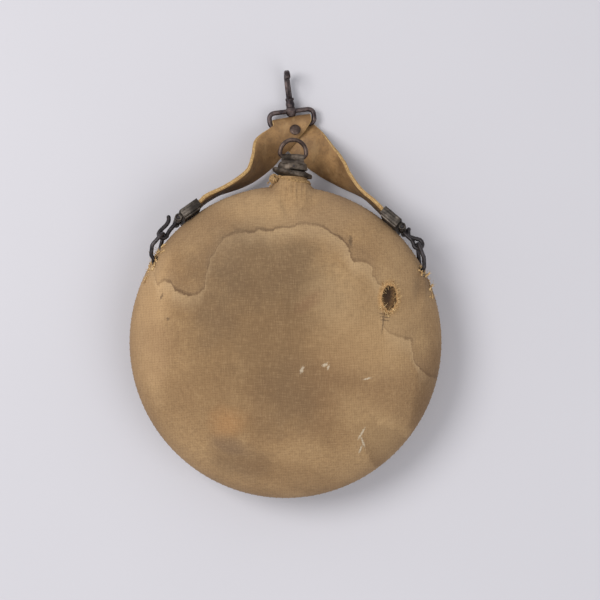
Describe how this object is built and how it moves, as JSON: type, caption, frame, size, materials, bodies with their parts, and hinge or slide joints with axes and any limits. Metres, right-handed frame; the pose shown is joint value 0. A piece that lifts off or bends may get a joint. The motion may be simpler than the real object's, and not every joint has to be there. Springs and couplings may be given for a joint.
{
  "type": "canteen",
  "caption": "Round cloth-covered field canteen with a cork stopper, wire sling loops and a folded leather sling ending in a swivelling snap hook.",
  "frame": {"origin": "middle of the flat spot on the back that the canteen rests on", "axes": "+Z out of the front cover, +Y towards the neck, +X to the right seen from the front"},
  "size_m": [0.1998, 0.276, 0.066],
  "materials": {
    "canvas": "worn woven canvas, water-stained",
    "felt": "grey wool felt",
    "tin": "dull tinplate",
    "lip": "dark oxidised metal",
    "cork": "cork",
    "black_wire": "japanned iron wire",
    "black_plate": "black japanned sheet",
    "leather": "undyed harness leather, soiled",
    "brown_iron": "browned iron",
    "twine": "flax twine"
  },
  "bodies": {
    "canteen": {"tin_front_shell": "tin", "tin_back_shell": "tin", "felt_front": "felt", "felt_back": "felt", "canvas_front": "canvas", "canvas_back": "canvas", "neck_tube": "lip", "neck_twine": "twine", "left_bracket": "black_plate", "right_bracket": "black_plate"},
    "left_loop": {"left_loop": "black_wire"},
    "right_loop": {"right_loop": "black_wire"},
    "stopper": {"stopper_cork": "cork", "stopper_cap": "lip", "ring_staple": "lip", "stopper_rod": "black_wire", "stopper_washer": "tin", "cap_pin": "black_wire"},
    "stopper_ring": {"stopper_ring": "brown_iron"},
    "sling": {"strap": "leather", "strap_rivet": "brown_iron", "strap_rivet_burr": "brown_iron", "left_clasp": "black_plate", "right_clasp": "black_plate", "left_clasp_bar": "black_wire", "right_clasp_bar": "black_wire", "left_hook": "black_wire", "right_hook": "black_wire"},
    "bail": {"swivel_bail": "brown_iron"},
    "snap_hook": {"snap_hook": "brown_iron", "gate_rivet": "brown_iron"},
    "snap_gate": {"snap_gate": "brown_iron"}
  },
  "joints": [
    {"name": "left_loop_swing", "type": "hinge", "parent": "canteen", "child": "left_loop", "pos_m": [-0.0853, 0.0483, 0.033], "axis": [0, 0, 1], "range_deg": [-3, 3]},
    {"name": "right_loop_swing", "type": "hinge", "parent": "canteen", "child": "right_loop", "pos_m": [0.0853, 0.0483, 0.033], "axis": [0, 0, 1], "range_deg": [-3, 3]},
    {"name": "stopper_pull", "type": "slide", "parent": "canteen", "child": "stopper", "axis": [0, 1, 0], "range_m": [0, 0.03]},
    {"name": "ring_fold", "type": "hinge", "parent": "stopper", "child": "stopper_ring", "pos_m": [0, 0.1186, 0.033], "axis": [1, 0, 0], "range_deg": [-75, 90]},
    {"name": "sling_swing", "type": "hinge", "parent": "canteen", "child": "sling", "pos_m": [0, 0.0662, 0.033], "axis": [1, 0, 0], "range_deg": [0, 39]},
    {"name": "bail_swing", "type": "hinge", "parent": "sling", "child": "bail", "pos_m": [-0.0011, 0.14057, 0.00666], "axis": [0.9848, 0.1637, -0.058], "range_deg": [-45, 60]},
    {"name": "hook_swivel", "type": "hinge", "parent": "bail", "child": "snap_hook", "pos_m": [-0.0011, 0.14057, 0.00666], "axis": [-0.1637, 0.9865, 0.0048], "continuous": true},
    {"name": "gate_press", "type": "hinge", "parent": "snap_hook", "child": "snap_gate", "pos_m": [-0.00383, 0.15745, 0.00794], "axis": [0.9848, 0.1637, -0.058], "range_deg": [-20, 0], "stiffness_Nm_per_rad": 0.01}
  ]
}
